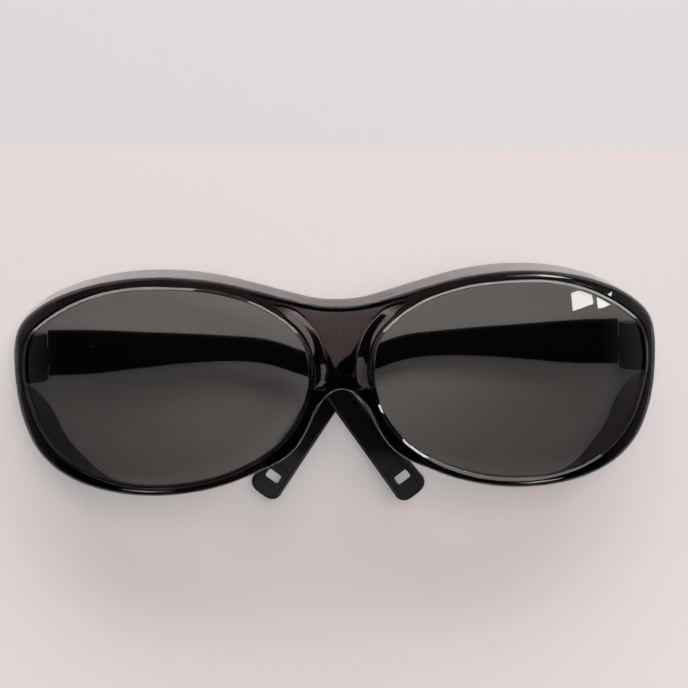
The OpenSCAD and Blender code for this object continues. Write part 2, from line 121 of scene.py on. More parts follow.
# dust motes that lie on the surface
def makeDust():
    tree, n = newTree("dust", "ShaderNodeTree", [
        ("Spacing", "NodeSocketFloat", 420.0), ("Mote Size", "NodeSocketFloat", 0.09),
        ("Share", "NodeSocketFloat", 0.12)], [("Mask", "NodeSocketFloat")])
    put, give = n.add("NodeGroupInput"), n.add("NodeGroupOutput")
    cells = n.feed(n.add("ShaderNodeTexVoronoi", feature="F1"), {"Vector": n.objectPlace(),
        "Scale": put.outputs["Spacing"]})
    chosen = n.feed(n.add("ShaderNodeSeparateColor"), {0: cells.outputs["Color"]})
    picked = n.math("LESS_THAN", chosen.outputs[0], put.outputs["Share"])
    size = n.math("MULTIPLY", put.outputs["Mote Size"], n.math("ADD", chosen.outputs[1], 0.4))
    near = n.math("LESS_THAN", cells.outputs["Distance"], size)
    n.feed(give, {"Mask": n.math("MULTIPLY", picked, near)})
    return tree


mouldGrain = makeMouldGrain()
dust = makeDust()


def newMaterial(name):
    material = bpy.data.materials.new(name)
    material.use_nodes = True
    material.node_tree.nodes.clear()
    n = Nodes(material.node_tree)
    return material, n, n.add("ShaderNodeOutputMaterial")


def placeGroup(n, group, values):
    node = n.add("ShaderNodeGroup")
    node.node_tree = group
    return n.feed(node, values)


# colours of the dust
moteOnClear, moteOnBlack = (0.75, 0.73, 0.7, 1.0), (0.3, 0.29, 0.28, 1.0)


# clear tinted plastic: light on its way to a shadow goes straight through, darkened by the tint
def clearPlastic(name, look):
    material, n, out = newMaterial(name)
    skin = n.add("ShaderNodeBsdfPrincipled")
    motes = placeGroup(n, dust, {"Spacing": look["dustSpacing"], "Mote Size": look["dustSize"],
        "Share": look["dustShare"]})
    surface = placeGroup(n, mouldGrain, {"Size": look["grain"], "Unevenness": look["haze"],
        "Base Roughness": look["rough"]})
    colour = n.mixColour(motes.outputs["Mask"], (1.0, 1.0, 1.0, 1.0), moteOnClear)
    rough = n.math("ADD", surface.outputs["Roughness"], n.math("MULTIPLY", motes.outputs["Mask"], 0.5))
    n.feed(skin, {"Base Color": colour, "Roughness": rough, "IOR": look["ior"], "Transmission Weight": 1.0})
    through = n.feed(n.add("ShaderNodeBsdfTransparent"), {"Color": look["shadow"]})
    path = n.add("ShaderNodeLightPath")
    both = n.mixShader(path.outputs["Is Shadow Ray"], skin.outputs[0], through.outputs[0])
    smoke = n.feed(n.add("ShaderNodeVolumeAbsorption"), {"Color": look["tint"], "Density": look["density"]})
    n.feed(out, {"Surface": both, "Volume": smoke.outputs[0]})
    return material


# opaque moulded plastic or rubber
def solidPlastic(name, look):
    material, n, out = newMaterial(name)
    skin = n.add("ShaderNodeBsdfPrincipled")
    surface = placeGroup(n, mouldGrain, {"Size": look["grain"], "Unevenness": look["uneven"],
        "Base Roughness": look["rough"]})
    motes = placeGroup(n, dust, {"Spacing": 500.0, "Mote Size": 0.1, "Share": look["dustShare"]})
    shade = n.mixColour(surface.outputs["Cloud"], look["dark"], look["light"])
    # painted highlight: the tips are painted lighter than the arms, where the tips catch the light
    if "tip" in look:    # the tips of the temples are greyer than the arms
        reach = n.ramp(n.split(n.objectPlace())[1], look["tipLitEnd"], look["tipLitStart"], 1.0, 0.0)
        shade = n.mixColour(reach, shade, look["tip"])
    colour = n.mixColour(motes.outputs["Mask"], shade, moteOnBlack)
    bump = n.feed(n.add("ShaderNodeBump"), {"Height": surface.outputs["Height"], "Strength": look["bump"],
        "Distance": 0.00005})
    n.feed(skin, {"Base Color": colour, "Roughness": surface.outputs["Roughness"],
        "Normal": bump.outputs[0], "IOR": 1.5, "Specular IOR Level": look["shine"]})
    n.feed(out, {"Surface": skin.outputs[0]})
    return material


# bright turned steel
def turnedSteel(name, look):
    material, n, out = newMaterial(name)
    skin = n.add("ShaderNodeBsdfPrincipled")
    surface = placeGroup(n, mouldGrain, {"Size": look["grain"], "Unevenness": look["uneven"],
        "Base Roughness": look["rough"]})
    shade = n.mixColour(surface.outputs["Cloud"], look["dark"], look["light"])
    bump = n.feed(n.add("ShaderNodeBump"), {"Height": surface.outputs["Height"], "Strength": look["bump"],
        "Distance": 0.00002})
    n.feed(skin, {"Base Color": shade, "Metallic": 1.0, "Roughness": surface.outputs["Roughness"],
        "Normal": bump.outputs[0]})
    n.feed(out, {"Surface": skin.outputs[0]})
    return material


# tints, absorption by metre, and how uneven, rough and dusty each finish is
smokeFrame = clearPlastic("smokeFrame", {"tint": (0.46, 0.43, 0.42, 1.0), "density": 1680.0, "ior": 1.56,
    "shadow": (0.94, 0.94, 0.94, 1.0), "grain": 260.0, "rough": 0.02, "haze": 0.01, "dustSpacing": 520.0,
    "dustSize": 0.07, "dustShare": 0.04})
tintedLens = clearPlastic("tintedLens", {"tint": (0.40, 0.40, 0.385, 1.0), "density": 1040.0, "ior": 1.56,
    "shadow": (0.94, 0.94, 0.94, 1.0), "grain": 260.0, "rough": 0.0, "haze": 0.0, "dustSpacing": 400.0,
    "dustSize": 0.06, "dustShare": 0.05})
saddleRubber = solidPlastic("saddleRubber", {"grain": 4200.0, "uneven": 0.06, "rough": 0.42, "dustShare": 0.0,
    "dark": (0.004, 0.004, 0.0045, 1.0), "light": (0.007, 0.007, 0.0075, 1.0), "bump": 0.05, "shine": 0.5})
hingeBlack = solidPlastic("hingeBlack", {"grain": 4800.0, "uneven": 0.05, "rough": 0.3, "dustShare": 0.0,
    "dark": (0.003, 0.003, 0.0035, 1.0), "light": (0.006, 0.006, 0.007, 1.0), "bump": 0.05, "shine": 0.25})
# the temples' tip colour is a painted highlight, lighter where the tips catch the light
templeBlack = solidPlastic("templeBlack", {"grain": 5200.0, "uneven": 0.06, "rough": 0.33, "dustShare": 0.03,
    "dark": (0.0022, 0.0024, 0.003, 1.0), "light": (0.004, 0.0045, 0.0055, 1.0), "bump": 0.06, "shine": 0.4,
    "tip": (0.017, 0.0175, 0.019, 1.0), "tipLitStart": -0.0165, "tipLitEnd": -0.0205})
hingeSteel = turnedSteel("hingeSteel", {"grain": 4000.0, "uneven": 0.1, "rough": 0.28,
    "dark": (0.42, 0.42, 0.44, 1.0), "light": (0.62, 0.62, 0.64, 1.0), "bump": 0.2})
print("materials made")


# a mesh from points in millimetres, with its doubles merged and its faces outwards
def newMesh(name, points, faces, smoothAngle=40.0):
    mesh = bpy.data.meshes.new(name)
    mesh.from_pydata([(x * mm, y * mm, z * mm) for x, y, z in points], [], faces)
    work = bmesh.new()
    work.from_mesh(mesh)
    bmesh.ops.remove_doubles(work, verts=work.verts, dist=0.000002)
    bmesh.ops.dissolve_degenerate(work, edges=work.edges, dist=0.0000005)
    bmesh.ops.recalc_face_normals(work, faces=work.faces)
    work.to_mesh(mesh)
    work.free()
    piece = bpy.data.objects.new(name, mesh)
    bpy.context.scene.collection.objects.link(piece)
    smooth(piece, smoothAngle)
    return piece


def smooth(piece, angle=40.0):
    for face in piece.data.polygons:
        face.use_smooth = True
    piece.data.set_sharp_from_angle(angle=math.radians(angle))


# puts what the modifiers give in place of the mesh
def settle(piece, angle=40.0):
    bpy.context.view_layer.update()
    seen = piece.evaluated_get(bpy.context.evaluated_depsgraph_get())
    mesh = bpy.data.meshes.new_from_object(seen)
    piece.modifiers.clear()
    piece.data = mesh
    smooth(piece, angle)
    return piece


# a smooth curve from b to c, at t
def blend(a, b, c, d, t):
    return 0.5 * (2 * b + (c - a) * t + (2 * a - 5 * b + 4 * c - d) * t * t
        + (3 * b - a - 3 * c + d) * t * t * t)


def openCurve(points, before, after, steps):
    rows = [before] + list(points) + [after]
    found = [blend(rows[i], rows[i + 1], rows[i + 2], rows[i + 3], j / steps)
             for i in range(len(points) - 1) for j in range(steps)]
    return np.array(found + [points[-1]])


def closedCurve(points, steps):
    around = [np.roll(points, -k, axis=0) for k in (-1, 0, 1, 2)]
    return np.array([blend(*(row[i] for row in around), j / steps)
                     for i in range(len(points)) for j in range(steps)])


def unit(v):
    return v / np.linalg.norm(v)


def mix(a, b, t):
    return a + (b - a) * t


# rounds the corners of a closed loop of points; every corner gives the same number of points
def roundedLoop(points, radii, steps=3):
    count, found = len(points), []
    for i, here in enumerate(points):
        back, ahead = points[i - 1] - here, points[(i + 1) % count] - here
        lengths = [max(np.linalg.norm(v), 1e-6) for v in (back, ahead)]
        reach = min(radii[i], 0.42 * lengths[0], 0.42 * lengths[1])
        start, end = here + back * reach / lengths[0], here + ahead * reach / lengths[1]
        hold = min(1.15 * reach, 0.48 * lengths[0]), min(1.15 * reach, 0.48 * lengths[1])
        found.append(here + back * hold[0] / lengths[0])
        for k in range(steps + 1):
            t = k / steps
            found.append((1 - t) ** 2 * start + 2 * t * (1 - t) * here + t * t * end)
        found.append(here + ahead * hold[1] / lengths[1])
    return found


# joins rings of points into a skin; each ring is a closed loop, the rows of rings may close too
def skin(rings, closeRows=False, caps=True):
    size, count, faces = len(rings[0]), len(rings), []
    for i in range(count if closeRows else count - 1):
        a, b = i * size, (i + 1) % count * size
        faces += [(a + k, b + k, b + (k + 1) % size, a + (k + 1) % size) for k in range(size)]
    if caps and not closeRows:
        faces += [tuple(range(size)), tuple((count - 1) * size + k for k in reversed(range(size)))]
    return [p for ring in rings for p in ring], faces


# the front is drawn flat, as if pressed on a table, and the tree wrapBend bends it to the curve of the face
front = {"width": 161.0, "wrapRadius": 135.0, "crownRadius": 150.0, "rimThick": 4.4, "edgeRound": 1.0,
         "wall": 2.0, "plateDrop": 0.8, "plateThick": 2.4, "plateStart": 5, "plateBlend": 3, "bandWidth": 4.2,
         "bandThick": 1.45, "bandWall": 0.2, "bandLip": 0.1, "coreDraft": 0.15, "sideDepth": 16.6,
         "browDepth": 16.0, "bridgeDepth": 10.0, "cheekDepth": 5.6, "noseDepth": 5.0, "browFlare": 1.5,
         "hingeFlare": 2.2, "shieldTaper": 4.0, "lensThick": 2.0, "lensSet": 1.25, "groove": 1.1,
         "lensFit": 0.08, "heel": 0.35, "barrelRadius": 3.0, "hingeInset": 3.5, "hingeRise": 7.3, "steps": 6,
         "lensSteps": 8, "bridgeSteps": 14}
halfWidth = front["width"] / 2
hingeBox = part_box("hinge_block_left")
hingeX, hingeZ = halfWidth - front["hingeInset"], front["barrelRadius"]
hingeY = (hingeBox[0].y + hingeBox[1].y) / 2 / mm
shiftY = hingeY - front["hingeRise"]    # from the flat drawing to the frame


# how far the face falls back at a point of the flat drawing
def sag(x, y):
    return (front["wrapRadius"] - math.sqrt(front["wrapRadius"] ** 2 - x * x)
        + y * y / (2 * front["crownRadius"]))


frontTop = front["barrelRadius"] + front["sideDepth"] + sag(halfWidth, 0)


def faceZ(p):
    return frontTop - sag(p[0], p[1])


def makeWrapBend():
    tree, n = newTree("wrapBend", "GeometryNodeTree", [
        ("Geometry", "NodeSocketGeometry", None), ("Wrap Radius", "NodeSocketFloat", 0.135),
        ("Crown Radius", "NodeSocketFloat", 0.15), ("Top", "NodeSocketFloat", 0.046),
        ("Shift", "NodeSocketFloat", 0.0), ("Material", "NodeSocketMaterial", None)],
        [("Geometry", "NodeSocketGeometry")])
    put, give = n.add("NodeGroupInput"), n.add("NodeGroupOutput")
    x, y, _ = n.split(n.add("GeometryNodeInputPosition").outputs[0])
    radius = put.outputs["Wrap Radius"]
    arc = n.math("SUBTRACT", radius, n.math("SQRT", n.math("SUBTRACT", n.math("MULTIPLY", radius, radius),
        n.math("MULTIPLY", x, x))))
    crown = n.math("DIVIDE", n.math("MULTIPLY", y, y), n.math("MULTIPLY", put.outputs["Crown Radius"], 2.0))
    rise = n.math("SUBTRACT", put.outputs["Top"], n.math("ADD", arc, crown))
    offset = n.feed(n.add("ShaderNodeCombineXYZ"), {"Y": put.outputs["Shift"], "Z": rise})
    moved = n.feed(n.add("GeometryNodeSetPosition"), {"Geometry": put.outputs["Geometry"],
        "Offset": offset.outputs[0]})
    real = n.feed(n.add("GeometryNodeRealizeInstances"), {"Geometry": moved.outputs[0]})
    done = n.feed(n.add("GeometryNodeSetMaterial"), {"Geometry": real.outputs[0],
        "Material": put.outputs["Material"]})
    n.feed(give, {"Geometry": done.outputs[0]})
    return tree


wrapBend = makeWrapBend()


def giveInputs(modifier, values):
    for item in modifier.node_group.interface.items_tree:
        if item.item_type == "SOCKET" and item.in_out == "INPUT" and item.name in values:
            modifier[item.identifier] = values[item.name]


def bent(piece, material, angle=40.0):
    modifier = piece.modifiers.new("wrapBend", "NODES")
    modifier.node_group = wrapBend
    giveInputs(modifier, {"Wrap Radius": front["wrapRadius"] * mm, "Crown Radius": front["crownRadius"] * mm,
        "Top": frontTop * mm, "Shift": shiftY * mm, "Material": material})
    return settle(piece, angle)


# a flat point that the bend brings to height z
def flatPoint(x, y, z):
    return np.array([x, y, z - faceZ((x, y))])


outlinePoints = np.array([[0, 1.4], [2.2, 0.9], [4.2, -0.8], [6, -3.6], [8.3, -8], [11, -12.2], [15, -15.5],
    [20.5, -18.1], [27, -20.8], [35, -23], [44, -24.2], [53, -24.1], [61.5, -22.7], [69, -19.6],
    [74.6, -14.8], [77.9, -8.8], [79.8, -2], [80.5, 5], [80.4, 11.5], [78.9, 16.2], [75.2, 19.9],
    [69.2, 23.4], [60.5, 26.3], [50.5, 28], [40.5, 28.3], [30, 27.3], [20.5, 25.2], [12, 22.9],
    [5.5, 21.3], [0, 20.9]])
lensPoints = np.array([[8, 2], [10.2, -4.6], [14.8, -10.8], [21, -15.3], [29.5, -19], [39, -21.1],
    [49, -21.6], [58.5, -20], [66.5, -16.2], [72.6, -9.8], [76, -2], [77.4, 6], [75.8, 13.2], [70, 18.2],
    [61, 22.6], [51, 24.9], [40.5, 25.2], [30, 24.3], [20.5, 21.6], [13.2, 17.2], [9.2, 12.6], [7.8, 7.4]])
middle = np.array([42.0, 2.0])    # of the left lens


def mirrored(p):
    return np.array([-p[0], p[1]])


outline = openCurve(outlinePoints, mirrored(outlinePoints[1]), mirrored(outlinePoints[-2]), front["steps"])
lensCurve = closedCurve(lensPoints, front["lensSteps"]) - middle
lensTurns = np.degrees(np.arctan2(lensCurve[:, 1], lensCurve[:, 0]))
lensTurns[0] = -180.0
lensRadii = np.linalg.norm(lensCurve, axis=1)
lensTurns, lensRadii = np.append(lensTurns, 180.0), np.append(lensRadii, lensRadii[0])


# the edge of the lens opening in a direction from its middle, in degrees
def lensPoint(turn, grow=0.0):
    turn = turn - 360 if turn > 180 else turn + 360 if turn < -180 else turn
    radius = np.interp(turn, lensTurns, lensRadii) + grow
    return middle + radius * np.array([math.cos(math.radians(turn)), math.sin(math.radians(turn))])


# the direction of a point from the lens middle; it makes its jump at the bridge, above the nose
def turnOf(p):
    v = p - middle
    turn = math.degrees(math.atan2(v[1], v[0]))
    return turn - 360 if turn > 179 or (p[0] < 1 and p[1] < middle[1] and turn > 0) else turn


# depth of the walls behind the rim and how far their rear edge leans out, by direction from the lens middle
def wallRows():
    f = front
    side, brow, cheek, nose, taper, flare = (f["sideDepth"], f["browDepth"], f["cheekDepth"], f["noseDepth"],
        f["shieldTaper"], f["hingeFlare"])
    return np.array([[-182, nose, 0, 0], [-150, nose, 0, 0], [-120, mix(nose, cheek, 0.5), 0, 0],
        [-86, cheek, 0, 0], [-66, mix(cheek, side, 0.18), 0, 0],
        [-52, mix(cheek, side, 0.55), -0.25 * taper, 0.15 * taper],
        [-40, mix(cheek, side, 0.9), -0.6 * taper, 0.3 * taper], [-28, side, -0.9 * taper, 0.2 * taper],
        [-15, side, -taper, 0], [-7, side, -0.45 * taper, 0], [-1, side, flare, 0], [14, side, flare, 0],
        [21, side, 0.8 * flare, 0.4 * f["browFlare"]], [32, side, 0.4 * flare, 0.8 * f["browFlare"]],
        [54, mix(side, brow, 0.5), 0.1 * flare, f["browFlare"]], [94, brow, 0, f["browFlare"]],
        [130, mix(brow, f["bridgeDepth"], 0.7), 0, f["browFlare"]],
        [157, f["bridgeDepth"], 0, f["browFlare"]]])


walls = wallRows()


def wallAt(turn):
    place = np.interp(turn, walls[:, 0], np.arange(len(walls)))
    last = len(walls) - 1
    i = min(int(place), last - 1)
    return blend(walls[max(i - 1, 0)], walls[i], walls[i + 1], walls[min(i + 2, last)], place - i)


def outlineNormal(i):
    a = mirrored(outline[1]) if i == 0 else outline[i - 1]
    b = mirrored(outline[-2]) if i == len(outline) - 1 else outline[i + 1]
    t = unit(b - a)
    return np.array([t[1], -t[0]])


def dropped(p, drop):
    return np.array([p[0], p[1], -drop])


# how far the rim at a point has widened into the bridge plate, from 0 to 1
def plateShare(width):
    return min(max((width - front["plateStart"]) / front["plateBlend"], 0), 1)


# the front of the rim, from its groove out over the raised band
def lensSideFront(edge, out, width):
    f, r, broad = front, front["edgeRound"], plateShare(width)
    crown = mix(min(f["bandWidth"] - r, width - 1.3 * r), f["bandWidth"] - 1.8 * r, broad)
    step = mix(min(f["bandWidth"], width - 0.85 * r), f["bandWidth"] + 0.8 * r, broad)
    return [dropped(edge, 0.62 * r), dropped(edge + out * 0.12 * r, 0.5 * r),
            dropped(edge + out * 1.05 * r, 0), dropped(edge + out * crown, 0),
            dropped(edge + out * step, mix(0.08 * r, f["plateDrop"], broad))]


# the rear of the rim, from its outer foot to the groove, cored out behind the band at the bridge
def lensSideBack(edge, out, foot, broad):
    f = front
    back = f["lensSet"] + f["lensThick"] + f["lensFit"]
    thick = mix(f["rimThick"], back + f["bandLip"], broad)
    heel = edge + out * f["heel"]
    coreStart, coreEnd = f["groove"] + f["bandWall"], f["bandWidth"]
    # each corner of the core: how far from heel to foot on a plain rim, its place and depth at the bridge
    corners = [(0.54, coreEnd + f["coreDraft"], -foot[2]), (0.46, coreEnd, f["bandThick"]),
        (0.38, coreStart + f["coreDraft"], f["bandThick"]), (0.3, coreStart, thick)]
    core = [dropped(mix(heel + (foot[:2] - heel) * share, edge + out * place, broad),
        mix(mix(thick, -foot[2], share), depth, broad)) for share, place, depth in corners]
    face, deep = f["lensSet"] - f["lensFit"], edge + out * f["groove"]
    return core + [dropped(heel, thick), dropped(edge, mix(thick, back, 0.35)), dropped(edge, back),
        dropped(deep, back), dropped(deep, face), dropped(edge, face)]


# radii of a section's corners: the front of the band, the plate or wall, then the rear of the band
cornerRounds = [0.2, 0.12, 0.35, 0.8, 0.8,
                0.8, 0.8, 0.55, 0.55, 0.6,
                0.15, 0.15, 0.15, 0.12, 0.25, 0.25, 0.12, 0.1, 0.1, 0.12]
sideCorners, cornerPoints = 5, 6    # corners of the plate or wall, and points that a rounded corner has


# one section across the rim and its wall, at a point of the outline
def rimSection(i):
    f, r = front, front["edgeRound"]
    o = outline[i]
    turn = turnOf(o)
    edge = lensPoint(turn)
    width, out, n = np.linalg.norm(o - edge), unit(o - edge), outlineNormal(i)
    w = wallAt(turn)
    depth, lean = w[1], w[2:4]
    broad = plateShare(width)
    top, rear = broad * f["plateDrop"], faceZ(o) - depth
    outer, inner = o + lean, o + lean - n * f["wall"]
    foot = dropped(o + lean * f["rimThick"] / depth - n * f["wall"],
        mix(f["rimThick"], f["plateDrop"] + f["plateThick"], broad))
    loop = lensSideFront(edge, out, width) + [
        dropped(o - n * 0.4 * r, top + 0.3 * r), dropped(o, top + r), flatPoint(outer[0], outer[1], rear),
        flatPoint(inner[0], inner[1], rear), foot] + lensSideBack(edge, out, foot, broad)
    return roundedLoop(loop, cornerRounds)


# a section across the rim and half of the bridge plate, up to the middle plane
def bridgeSection(turn):
    o = np.array([0, middle[1] - middle[0] * math.tan(math.radians(turn))])
    edge = lensPoint(turn)
    out = unit(o - edge)
    low = [dropped(o, front["plateDrop"] + front["plateThick"] * k / (sideCorners - 1))
           for k in range(sideCorners)]
    width = np.linalg.norm(o - edge)
    loop = lensSideFront(edge, out, width) + low + lensSideBack(edge, out, low[-1], plateShare(width))
    rounded = roundedLoop(loop, cornerRounds)
    count = sideCorners * cornerPoints
    for k in range(count):    # the middle plane is cut square, so its points only step down it
        rounded[count + k] = dropped(o, front["plateDrop"] + front["plateThick"] * k / (count - 1))
    return rounded


def makeFrontFrame():
    rings = [rimSection(i) for i in range(len(outline))]
    browTurn, noseTurn = turnOf(outline[-1]), turnOf(outline[0]) + 360
    last = front["bridgeSteps"]
    rings += [bridgeSection(mix(browTurn, noseTurn, i / last)) for i in range(1, last)]
    points, faces = skin(rings, closeRows=True)
    onMiddle = [abs(p[0]) < 0.0005 for p in points]
    faces = [f for f in faces if not all(onMiddle[i] for i in f)]
    far = [(-p[0], p[1], p[2]) for p in points]
    both = [tuple(p) for p in points] + far
    return newMesh("frontFrame", both, faces + [tuple(i + len(points) for i in reversed(f)) for f in faces])


frontFrame = bent(makeFrontFrame(), smokeFrame, 50.0)
print("front frame made,", len(frontFrame.data.polygons), "faces")


# lenses: rings of points on the face and back of a flat lens, then bent with the front
lens = {"turns": 240, "rings": [1.0, 0.99, 0.94, 0.84, 0.7, 0.55, 0.4, 0.25, 0.12], "edgeRound": 0.2}


def makeLens(name, side):
    grow = front["groove"] - front["lensFit"]

    def ring(share, inset, drop):
        found = []
        for i in range(lens["turns"]):
            p = mix(middle, lensPoint(i * 360 / lens["turns"] - 180, grow - inset), share)
            found.append((side * p[0], p[1], -drop))
        return found

    top, bottom, r = front["lensSet"], front["lensSet"] + front["lensThick"], lens["edgeRound"]
    rings = [ring(s, r, top) for s in reversed(lens["rings"])]
    rings += [ring(1, 0.3 * r, top + 0.3 * r), ring(1, 0, top + r), ring(1, 0, bottom - r),
              ring(1, 0.3 * r, bottom - 0.3 * r)]
    rings += [ring(s, r, bottom) for s in lens["rings"]]
    points, faces = skin(rings, caps=False)
    size = lens["turns"]
    points += [(side * middle[0], middle[1], -top), (side * middle[0], middle[1], -bottom)]
    last = len(rings) * size
    faces += [(k, (k + 1) % size, last) for k in range(size)]
    start = last - size
    faces += [(start + (k + 1) % size, start + k, last + 1) for k in range(size)]
    return bent(newMesh(name, points, faces), tintedLens, 30.0)


lensLeft, lensRight = makeLens("lensLeft", 1), makeLens("lensRight", -1)
print("lenses made")


# nose saddle, swept along the nose arch from foot to foot
saddle = {"reach": 13, "fit": 0.15, "depth": 9.0, "depthLoss": 0.68, "flangeWidth": 3.2, "flangeLoss": 0.45,
          "flangeThick": 1.3, "padThick": 1.6, "padFlare": 2.2, "flareLoss": 0.6}


def makeSaddle():
    s, rings, steps = saddle, [], front["steps"]
    last = s["reach"] * steps // 2
    for j in range(-last, last + 1):
        i, side = abs(j), -1 if j < 0 else 1
        k, o, n = i / last, outline[i], outlineNormal(i)
        deep = s["depth"] * (1 - s["depthLoss"] * k ** 3)    # it grows thinner towards its feet
        lean = mix(0.3, 1, k) * (1 - s["flareLoss"] * k ** 4) * s["padFlare"]
        flange = s["flangeWidth"] * (1 - s["flangeLoss"] * k ** 2)
        pad, thick = s["padThick"], s["flangeThick"]
        z = faceZ(o) - front["noseDepth"] - s["fit"]
        profile = [[0.2, 0], [-flange, 0], [-flange, thick], [-pad - 0.3 * lean, thick + 0.9],
            [-pad - lean, deep - 0.4], [-0.6 * pad - lean, deep], [-0.2 * pad - lean, deep - 0.3],
            [0.2 - 0.3 * lean, thick + 0.9]]
        loop = roundedLoop([np.array(q) for q in profile], [0.3, 0.45, 0.45, 0.8, 0.4, 0.4, 0.4, 0.8])
        rings.append([flatPoint(side * (o[0] + n[0] * q[0]), o[1] + n[1] * q[0], z - q[1]) for q in loop])
    points, faces = skin(rings)
    return bent(newMesh("noseSaddle", points, faces), saddleRubber, 45.0)


noseSaddle = makeSaddle()
print("nose saddle made")


# temples, lofted along their path from the hinge to the tip
temple = {"thick": 3.6, "tall": 11.8, "neckTall": 6.6, "tipTall": 8.8, "length": 58.4, "bow": 1.5,
          "bendLength": 15.0, "bendDrop": 5.2, "dropAngle": 53.0, "earLength": 39.2, "tipRise": 5.0,
          "riseCurve": 1.6, "round": 1.2, "slot": (4.0, 2.2), "slotRound": 0.6, "slotBack": 5.6,
          "cutThrough": 16, "pocketDepth": 0.8, "pocketRound": 1.5, "border": 1.3, "crossGap": 0.4,
          "rootGap": 0.35, "knuckleTall": 4.2, "tongueReach": 2.4, "step": 0.3, "screwRadius": 1.0,
          "screwFit": 0.05, "pinReach": 9, "pinSides": 48, "barrelSides": 64, "pathSteps": 8, "tipRound": 2.6,
          "tipSteps": 8}


# rows of place, height and thickness from hinge to tip, the way the ear piece goes and where it starts
def templePath():
    t = temple
    way = np.array([math.cos(math.radians(t["dropAngle"])), -math.sin(math.radians(t["dropAngle"]))])
    end = np.array([t["length"] + t["bendLength"], -t["bendDrop"]])
    tall, neck, thick, length, bow = t["tall"], t["neckTall"], t["thick"], t["length"], t["bow"]
    rows = [[front["barrelRadius"] + t["rootGap"], 0.6 * bow, tall, thick],
        [0.26 * length, 0.67 * bow, 0.95 * tall, thick],
        [0.48 * length, 0.87 * bow, mix(neck, tall, 0.5), thick],
        [0.67 * length, bow, mix(neck, tall, 0.2), thick], [0.85 * length, 0.87 * bow, neck, thick],
        [length, 0.33 * bow, 0.96 * neck, thick],
        [length + 0.53 * t["bendLength"], -0.37 * t["bendDrop"], 0.92 * neck, thick]]
    for s in (0, 0.28, 0.56, 0.82, 1):
        p = end + way * t["earLength"] * s
        rows.append([p[0], p[1], mix(0.92 * neck, t["tipTall"], s), mix(thick, 0.85 * thick, s)])
    rows = np.array(rows)
    path = openCurve(rows, 2 * rows[0] - rows[1], 2 * rows[-1] - rows[-2], t["pathSteps"])
    near = rows[-1][:2] - way * t["tipRound"]
    path = [row for row in path if np.dot(row[:2] - near, way) < 0]
    for k in range(t["tipSteps"] + 1):    # closer rows where the end is rounded
        turn = math.radians(90 * k / t["tipSteps"])
        place = near + way * t["tipRound"] * math.sin(turn)
        height = rows[-1][2] - 2 * t["tipRound"] * (1 - math.cos(turn))
        path.append(np.array([place[0], place[1], height, rows[-1][3]]))
    return np.array(path), way, end


# how far the ear piece has risen off the table at a place along the temple
def templeRise(u, way, end):
    t = temple
    start, stop = t["length"] + 0.2 * t["bendLength"], end[0] + way[0] * t["earLength"]
    return t["tipRise"] * min(max((u - start) / (stop - start), 0), 1) ** t["riseCurve"]


def makeTemple(name, side):
    t = temple
    path, way, end = templePath()
    rings = []
    for i, row in enumerate(path):
        a, b = path[max(i - 1, 0)], path[min(i + 1, len(path) - 1)]
        along = unit((b - a)[:2])
        n = np.array([0.0, 1.0]) if i == 0 else np.array([-along[1], along[0]])
        half, thick = row[2] / 2, row[3]
        low = templeRise(row[0], way, end) - hingeZ
        r = min(t["round"], 0.48 * thick)
        corners = [(half, thick), (-half, thick), (-half, 0), (half, 0)]
        loop = roundedLoop([np.array(c) for c in corners], [r] * 4, 5)
        rings.append([(-(row[0] + n[0] * q[0]), row[1] + n[1] * q[0], low + q[1]) for q in loop])
    points, faces = skin(rings)
    arm = newMesh(name, points, faces)
    lift = templeRise(end[0] + way[0] * (t["earLength"] - t["slotBack"]), way, end)
    tip = end + way * (t["earLength"] - t["slotBack"])
    stop = end[0] + way[0] * t["earLength"]
    lean = math.atan(t["tipRise"] * t["riseCurve"] / (stop - t["length"] - 0.2 * t["bendLength"]))
    place = (Matrix.Translation((-tip[0] * mm, tip[1] * mm, (lift + 0.87 * t["thick"] - hingeZ) * mm))
        @ Matrix.Rotation(math.radians(180 + t["dropAngle"]), 4, "Z")
        @ Matrix.Rotation(-lean * math.cos(math.radians(t["dropAngle"])), 4, "Y"))
    pocket = t["tipTall"] - 2 * t["border"]
    cut(arm, softBox((1.15 * pocket, pocket, 2 * t["pocketDepth"]), t["pocketRound"], place))
    cut(arm, softBox((t["slot"][1], t["slot"][0], t["cutThrough"]), t["slotRound"], place))
    barrel = makeBarrel()
    long = front["barrelRadius"] + t["tongueReach"]    # the tongue joins the barrel to the arm
    tongue = softBox((long, t["knuckleTall"], t["thick"] - 2 * t["step"]), 0.25,
        Matrix.Translation((-long / 2 * mm, 0, (t["thick"] / 2 - hingeZ) * mm)))
    cut(tongue, borePin())
    joinMeshes(arm, [barrel, tongue])
    crossHalf = t["neckTall"] / 2 / math.sin(math.radians(t["dropAngle"]))
    tilt = math.asin((t["thick"] + t["crossGap"] + templeRise(hingeX + crossHalf, way, end)
        - templeRise(hingeX - crossHalf, way, end)) / (hingeX - crossHalf)) if side < 0 else 0.0
    home = Matrix.Translation((hingeX * mm, hingeY * mm, hingeZ * mm)) @ Matrix.Rotation(tilt, 4, "Y")
    if side < 0:
        home = Matrix.Scale(-1, 4, (1, 0, 0)) @ home
    arm.data.transform(home)
    if side < 0:
        arm.data.flip_normals()
    arm.data.materials.clear()
    arm.data.materials.append(templeBlack)
    smooth(arm, 35.0)
    return arm


# a box with rounded upright corners, for pockets and slots
def softBox(size, radius, place):
    x, y, z = (v / 2 for v in size)
    loop = roundedLoop([np.array(c) for c in ((x, y), (-x, y), (-x, -y), (x, -y))], [radius] * 4, 6)
    points, faces = skin([[(q[0], q[1], h) for q in loop] for h in (-z, z)])
    box = newMesh("tool", points, faces)
    box.data.transform(place)
    return box


